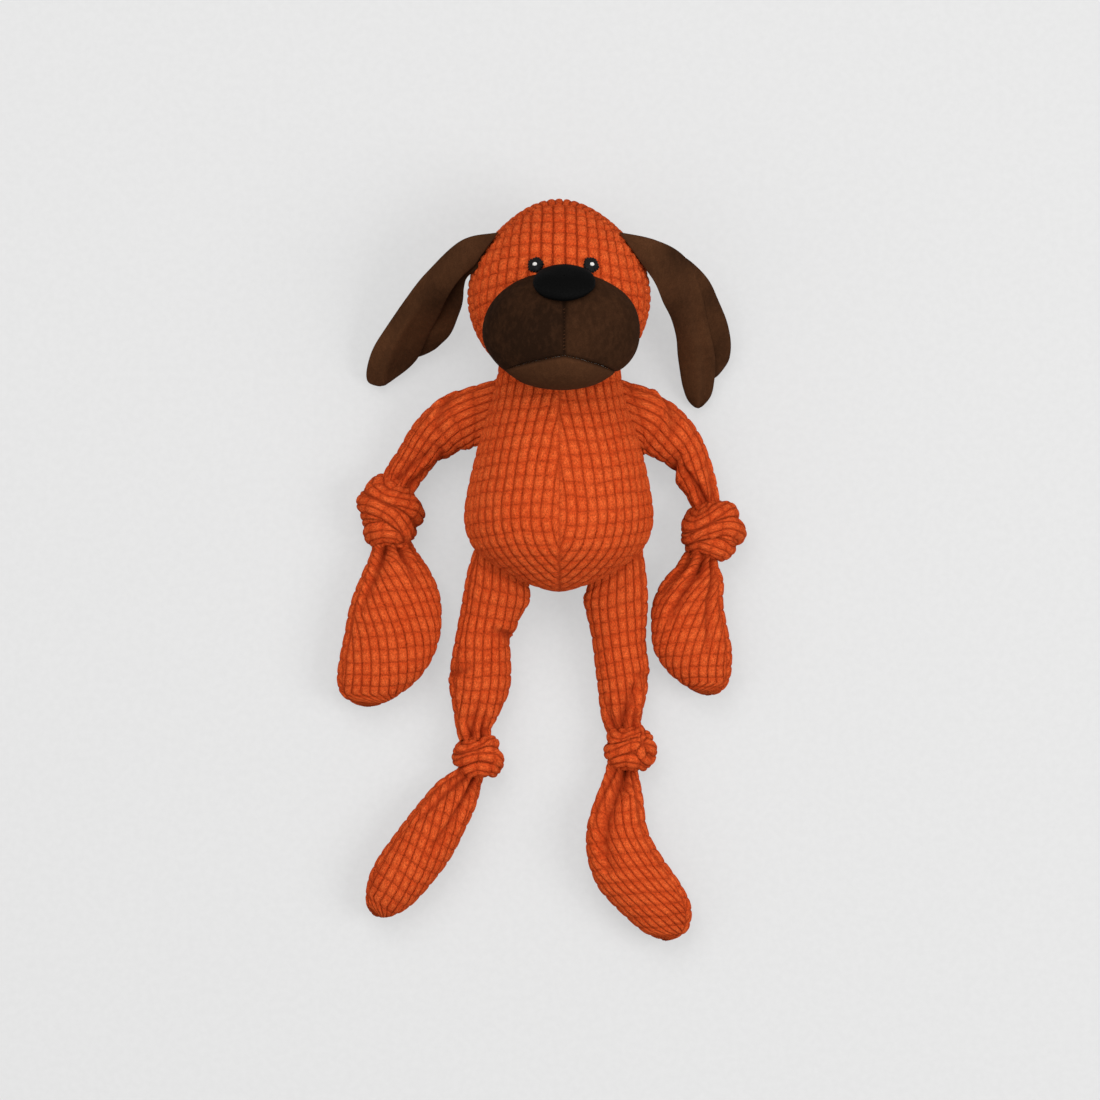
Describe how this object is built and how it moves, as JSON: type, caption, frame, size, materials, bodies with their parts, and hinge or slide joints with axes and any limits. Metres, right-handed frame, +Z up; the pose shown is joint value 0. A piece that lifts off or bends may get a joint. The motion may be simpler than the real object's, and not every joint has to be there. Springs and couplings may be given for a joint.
{
  "type": "plush dog toy",
  "caption": "Stuffed corduroy dog toy with a round head, drooping velour ears, pear body and knotted arms and legs, lying on its back",
  "frame": {"origin": "middle of the flat of the back that the toy lies on, at its widest part", "axes": "+X across the toy to the viewer's right, +Y towards the head, +Z up from the floor to the face"},
  "size_m": [0.2016, 0.3676, 0.1094],
  "materials": {
    "corduroy": "orange waffle corduroy with a short pile",
    "velour": "dark brown short pile velour",
    "nose_satin": "black satin stitched over a pad",
    "black_thread": "black embroidery thread",
    "white_thread": "white embroidery thread",
    "filling": "polyester fibre filling",
    "squeaker_vinyl": "thin blown vinyl"
  },
  "bodies": {
    "torso": {"torso_front_left": "corduroy", "torso_front_right": "corduroy", "torso_back": "corduroy", "torso_filling_front": "filling", "torso_filling_back": "filling", "squeaker_bulb": "squeaker_vinyl", "squeaker_reed": "squeaker_vinyl"},
    "head": {"head_front": "corduroy", "head_back": "corduroy", "head_filling": "filling", "snout_cheek_left": "velour", "snout_cheek_right": "velour", "snout_chin": "velour", "snout_filling": "filling", "nose": "nose_satin", "eye_left": "black_thread", "eye_glint_left": "white_thread", "eye_right": "black_thread", "eye_glint_right": "white_thread"},
    "ear_left": {"ear_left_front": "velour", "ear_left_back": "velour"},
    "arm_left": {"arm_left_sleeve": "corduroy", "arm_left_filling": "filling", "arm_left_knot": "corduroy"},
    "paw_left": {"arm_left_paw": "corduroy", "arm_left_paw_filling": "filling"},
    "leg_left": {"leg_left_sleeve": "corduroy", "leg_left_filling": "filling", "leg_left_knot": "corduroy"},
    "foot_left": {"leg_left_foot": "corduroy", "leg_left_foot_filling": "filling"},
    "ear_right": {"ear_right_front": "velour", "ear_right_back": "velour"},
    "arm_right": {"arm_right_sleeve": "corduroy", "arm_right_filling": "filling", "arm_right_knot": "corduroy"},
    "paw_right": {"arm_right_paw": "corduroy", "arm_right_paw_filling": "filling"},
    "leg_right": {"leg_right_sleeve": "corduroy", "leg_right_filling": "filling", "leg_right_knot": "corduroy"},
    "foot_right": {"leg_right_foot": "corduroy", "leg_right_foot_filling": "filling"}
  },
  "joints": [
    {"name": "head_nod", "type": "hinge", "parent": "torso", "child": "head", "pos_m": [0, 0.10701, 0.0455], "axis": [-1, 0, 0], "range_deg": [-4, 12]},
    {"name": "ear_left_flap", "type": "hinge", "parent": "head", "child": "ear_left", "pos_m": [-0.03871, 0.12817, 0.06408], "axis": [0.485, 0.8744, 0.0146], "range_deg": [-8, 60]},
    {"name": "shoulder_left", "type": "hinge", "parent": "torso", "child": "arm_left", "pos_m": [-0.03711, 0.04877, 0.0315], "axis": [0.2941, 0.9558, 0], "range_deg": [-15, 55]},
    {"name": "wrist_left", "type": "hinge", "parent": "arm_left", "child": "paw_left", "pos_m": [-0.07974, -0.02012, 0.015], "axis": [-1, 0, 0], "range_deg": [-35, 35]},
    {"name": "hip_left", "type": "hinge", "parent": "torso", "child": "leg_left", "pos_m": [-0.03099, -0.03116, 0.0315], "axis": [0.8046, -0.5938, 0], "range_deg": [-25, 40]},
    {"name": "ankle_left", "type": "hinge", "parent": "leg_left", "child": "foot_left", "pos_m": [-0.045, -0.13501, 0.0125], "axis": [-0.8, 0.6, 0], "range_deg": [-35, 35]},
    {"name": "ear_right_flap", "type": "hinge", "parent": "head", "child": "ear_right", "pos_m": [0.03975, 0.12817, 0.06175], "axis": [0.4786, -0.8776, -0.0278], "range_deg": [-8, 60]},
    {"name": "shoulder_right", "type": "hinge", "parent": "torso", "child": "arm_right", "pos_m": [0.03728, 0.04818, 0.0315], "axis": [0.2941, -0.9558, 0], "range_deg": [-15, 55]},
    {"name": "wrist_right", "type": "hinge", "parent": "arm_right", "child": "paw_right", "pos_m": [0.06699, -0.02464, 0.015], "axis": [-1, 0, 0], "range_deg": [-35, 35]},
    {"name": "hip_right", "type": "hinge", "parent": "torso", "child": "leg_right", "pos_m": [0.03099, -0.03116, 0.0315], "axis": [0.8046, 0.5938, 0], "range_deg": [-25, 40]},
    {"name": "ankle_right", "type": "hinge", "parent": "leg_right", "child": "foot_right", "pos_m": [0.0301, -0.13156, 0.0125], "axis": [-1, 0, 0], "range_deg": [-35, 35]}
  ]
}
